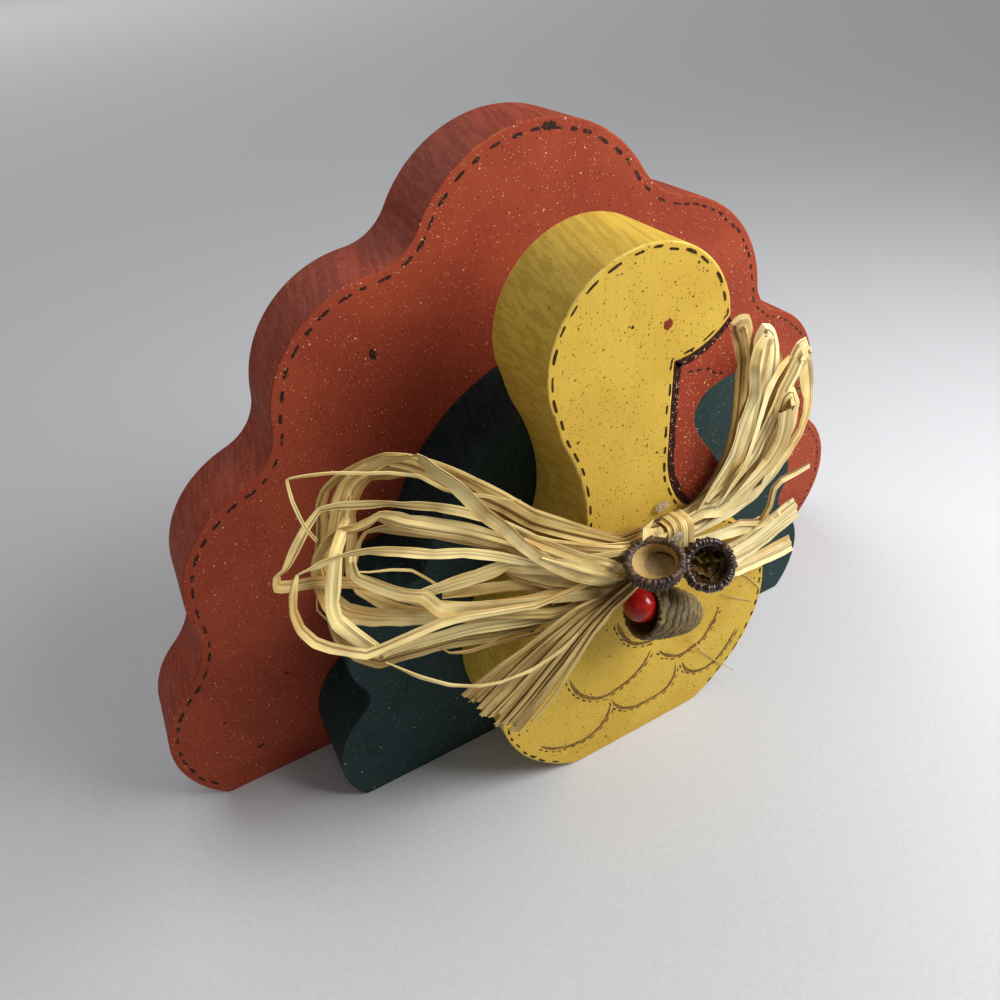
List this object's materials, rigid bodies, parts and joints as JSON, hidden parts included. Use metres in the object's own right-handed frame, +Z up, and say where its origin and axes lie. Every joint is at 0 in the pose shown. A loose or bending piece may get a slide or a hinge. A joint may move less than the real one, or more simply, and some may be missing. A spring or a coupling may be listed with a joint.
{
  "type": "thanksgiving turkey figure",
  "caption": "Standing turkey figure of stacked sawn and painted boards, with a scalloped tail fan, a raffia bow, acorn caps and a berry; a table decoration.",
  "frame": {"origin": "on the table plane, in the middle of the wing board's thickness, near the middle of its length", "axes": "+Z up; the turkey's face looks along -Y; +X to the right as seen from the front, along the boards"},
  "size_m": [0.2102, 0.0754, 0.1438],
  "materials": {
    "tail_red": "matte brick red paint with cream speckles over pine",
    "wing_green": "matte dark green paint with pale speckles over pine",
    "body_yellow": "matte mustard yellow paint with brown speckles and sanded edges over pine",
    "beak_red": "matte brick red paint with cream spots over pine",
    "raffia_straw": "dry straw fibre with a soft sheen",
    "acorn_tan": "rough scaly shell",
    "acorn_dark": "dark shell with gloss inside",
    "acorn_taupe": "rough scaly shell",
    "berry_red": "glossy red",
    "clear_glue": "clear hot melt glue",
    "screw_steel": "zinc plated"
  },
  "bodies": {
    "root": {"tail_fan_board": "tail_red", "wing_board": "wing_green", "body_board": "body_yellow", "beak_wattle": "beak_red", "tail_screw_1": "screw_steel", "tail_screw_2": "screw_steel", "body_screw_1": "screw_steel", "body_screw_2": "screw_steel", "raffia_loop_left_1": "raffia_straw", "raffia_loop_left_2": "raffia_straw", "raffia_loop_left_3": "raffia_straw", "raffia_loop_left_4": "raffia_straw", "raffia_loop_left_5": "raffia_straw", "raffia_loop_left_6": "raffia_straw", "raffia_loop_left_7": "raffia_straw", "raffia_loop_right_1": "raffia_straw", "raffia_loop_right_2": "raffia_straw", "raffia_loop_right_3": "raffia_straw", "raffia_loop_right_4": "raffia_straw", "raffia_loop_right_5": "raffia_straw", "raffia_tail_left_1": "raffia_straw", "raffia_tail_left_2": "raffia_straw", "raffia_tail_left_3": "raffia_straw", "raffia_tail_left_4": "raffia_straw", "raffia_tail_left_5": "raffia_straw", "raffia_tail_right_1": "raffia_straw", "raffia_tail_right_2": "raffia_straw", "raffia_tail_right_3": "raffia_straw", "raffia_tail_right_4": "raffia_straw", "raffia_knot_band": "raffia_straw", "acorn_cap_cup": "acorn_tan", "acorn_cap_dark": "acorn_dark", "acorn_cap_lying": "acorn_taupe", "berry": "berry_red", "bow_glue_pad": "clear_glue", "glue_dab_neck": "clear_glue", "glue_dab_knot": "clear_glue"}
  },
  "joints": []
}
